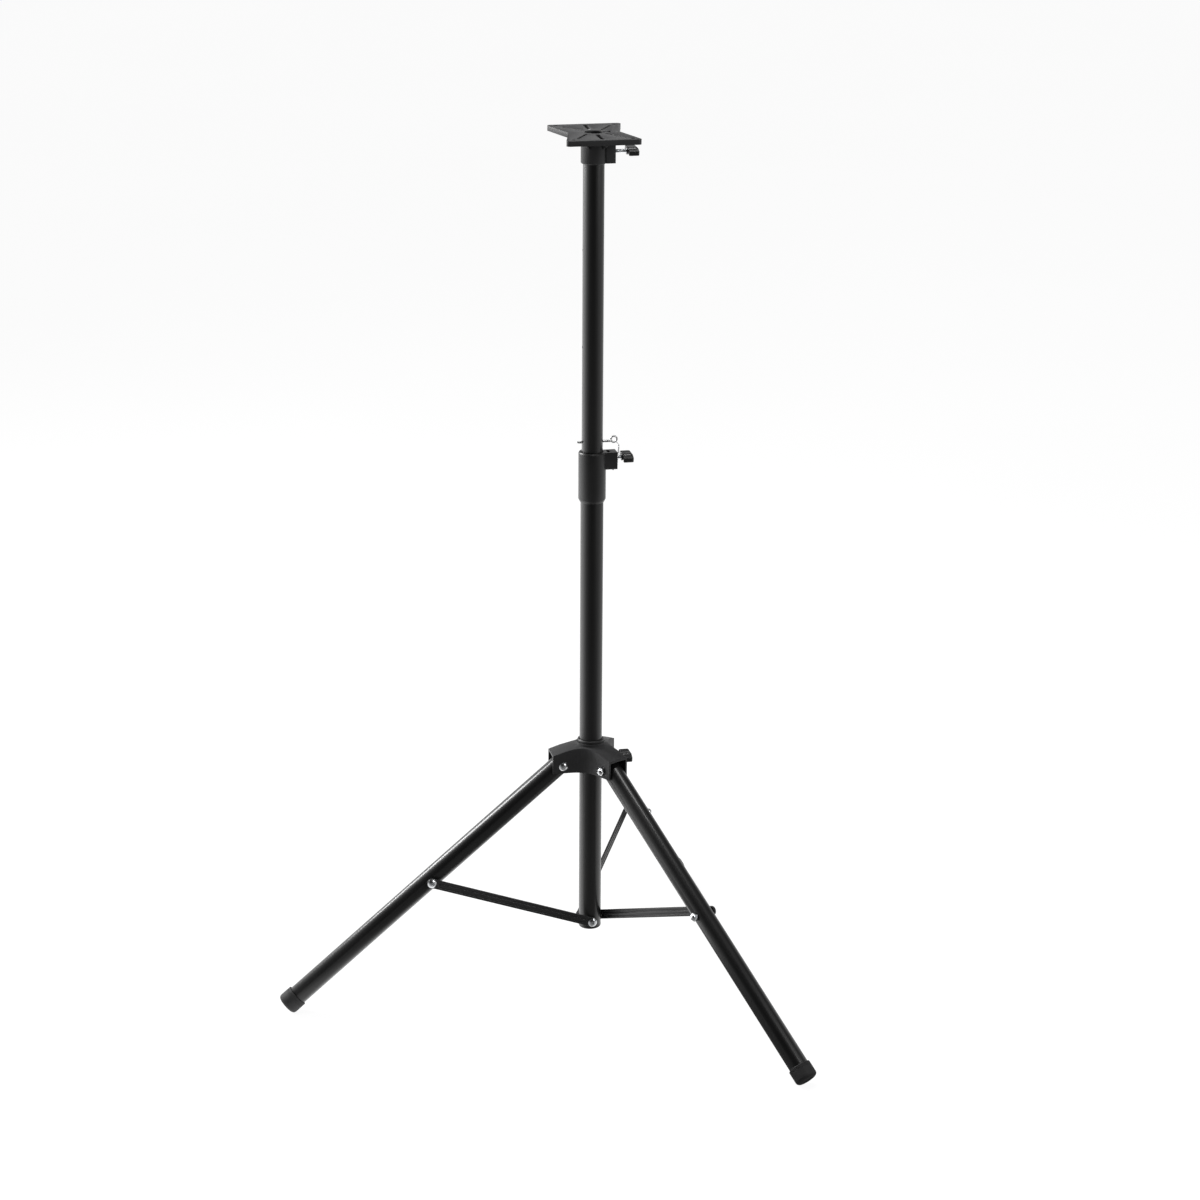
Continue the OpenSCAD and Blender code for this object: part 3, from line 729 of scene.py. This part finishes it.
# Widths of the rounded edges in mm: all edges, then the upper ones
EDGES = {
    "hub": (0.7, 2.0),
    "top_plate": (0.6, 0.9),
    "locking_collar": (0.6, 1.3),
    "hub_bush": (0.3, 0.8),
    "pole_end_plug": (0.4, 0.4),
    "upper_tube": (0.25, 0.25),
    "lower_tube": (0.25, 0.25),
    "leg_pivot_nuts": (0.35, 0.35),
    "strut_washers": (0.12, 0.12),
    "chain_anchor_screw": (0.3, 0.3),
    "mast_guide_bush": (0.2, 0.2),
    "mast_foot_bush": (0.4, 0.4),
    "plate_nut": (0.5, 0.5),
    "collar_nut": (0.5, 0.5),
    "hub_nut": (0.5, 0.5),
    "plate_pad": (0.3, 0.3),
    "collar_pad": (0.3, 0.3),
    "hub_pad": (0.3, 0.3),
}
LEG_EDGES = {"leg_tube_": 0.25, "leg_plug_": 0.4, "strut_stud_": 0.35, "strut_": 0.45}


def make_edged():
    for node, (width, top_width) in EDGES.items():
        edged_copy(node, width * MM, top_width * MM)
    for start, width in LEG_EDGES.items():
        for way in WAYS:
            edged_copy(start + way, width * MM)


# ---- Floor and light ----

# Ways in the stand's frame: from the camera past the stand, to its left, and up
AWAY = (0.21, 0.977, 0)
LEFT = (-1, 0, 0)
UP = (0, 0, 1)
FLOOR_HALF = 20
FLOOR_SEEN = 0.93
WORLD_SEEN = 1.0
STAND_MIDDLE = (0, 0, 0.7)


def camera_ray(tree):
    return tree.nodes.new("ShaderNodeLightPath").outputs["Is Camera Ray"]


def part_along(tree, vector, way):
    dot = tree.nodes.new("ShaderNodeVectorMath")
    dot.operation = "DOT_PRODUCT"
    tree.links.new(vector, dot.inputs[0])
    dot.inputs[1].default_value = way
    return dot.outputs["Value"]


def level_round(tree, vector):
    """Light from all round: bright behind the stand and to its left, dim in front of it."""
    unit = tree.nodes.new("ShaderNodeVectorMath")
    unit.operation = "NORMALIZE"
    tree.links.new(vector, unit.inputs[0])
    way = unit.outputs["Vector"]
    behind = spread(tree, part_along(tree, way, AWAY), -0.95, 0.3, 0.04, 1.1, smooth=True)
    left = spread(tree, part_along(tree, way, LEFT), -1, 1, 0.7, 1.6)
    return combine(tree, "MULTIPLY", behind, left)


def seen_or_lit(tree, seen, lit):
    """One level for the camera and another for the light that reaches the stand."""
    mix = tree.nodes.new("ShaderNodeMix")
    tree.links.new(camera_ray(tree), mix.inputs["Factor"])
    tree.links.new(lit, mix.inputs["A"])
    mix.inputs["B"].default_value = seen
    return mix.outputs["Result"]


def make_floor():
    mesh = bpy.data.meshes.new("floor")
    corners = [(x * FLOOR_HALF, y * FLOOR_HALF, 0) for x, y in ((-1, -1), (1, -1), (1, 1), (-1, 1))]
    mesh.from_pydata(corners, [], [(0, 1, 2, 3)])
    floor = new_piece("floor", mesh)
    material, tree, shader = new_material("floor")
    colour = tint(tree, noise(tree, 0.6, 2), (0.16, 0.16, 0.16), (0.18, 0.18, 0.18))
    tree.links.new(colour, shader.inputs["Base Color"])
    shader.inputs["Roughness"].default_value = 1.0
    shader.inputs["Specular IOR Level"].default_value = 0.0
    shader.inputs["Emission Color"].default_value = (1, 1, 1, 1)
    where = tree.nodes.new("ShaderNodeTexCoord")
    lit = level_round(tree, where.outputs["Object"])
    tree.links.new(seen_or_lit(tree, FLOOR_SEEN, lit), shader.inputs["Emission Strength"])
    mesh.materials.append(material)


def make_world():
    world = bpy.data.worlds.new("studio")
    bpy.context.scene.world = world
    world.use_nodes = True
    tree = world.node_tree
    back = tree.nodes["Background"]
    back.inputs["Color"].default_value = (1, 1, 1, 1)
    where = tree.nodes.new("ShaderNodeTexCoord")
    way = where.outputs["Generated"]
    height = spread(tree, part_along(tree, way, UP), 0, 0.55, 1, 0.12)
    lit = combine(tree, "MULTIPLY", level_round(tree, way), height)
    tree.links.new(seen_or_lit(tree, WORLD_SEEN, lit), back.inputs["Strength"])


def soft_box(name, place, aim, size, power):
    data = bpy.data.lights.new(name, "AREA")
    data.shape = "RECTANGLE"
    data.size, data.size_y = size
    data.energy = power
    light = bpy.data.objects.new(name, data)
    bpy.context.scene.collection.objects.link(light)
    light.location = place
    light.rotation_euler = (Vector(aim) - Vector(place)).to_track_quat("-Z", "Y").to_euler()


def make_light():
    soft_box("top_box", (0.1, -0.4, 3.6), STAND_MIDDLE, (1.0, 1.0), 26)
    soft_box("back_left_box", (-2.1, 1.75, 2.2), (-0.25, 0, 0.25), (0.8, 1.6), 110)
    soft_box("front_right_box", (2.6, -3.0, 2.8), STAND_MIDDLE, (1.2, 1.2), 42)


# ---- The scene ----

bpy.context.scene.view_settings.view_transform = "Standard"
make_camera()
make_floor()
make_world()
make_light()
make_edged()
make_bolts()
for clamp in ("plate", "collar", "hub"):
    make_screw(clamp + "_screw")
    make_knob(clamp + "_knob")
make_pin()
make_split_ring()
make_chain()
make_feet()
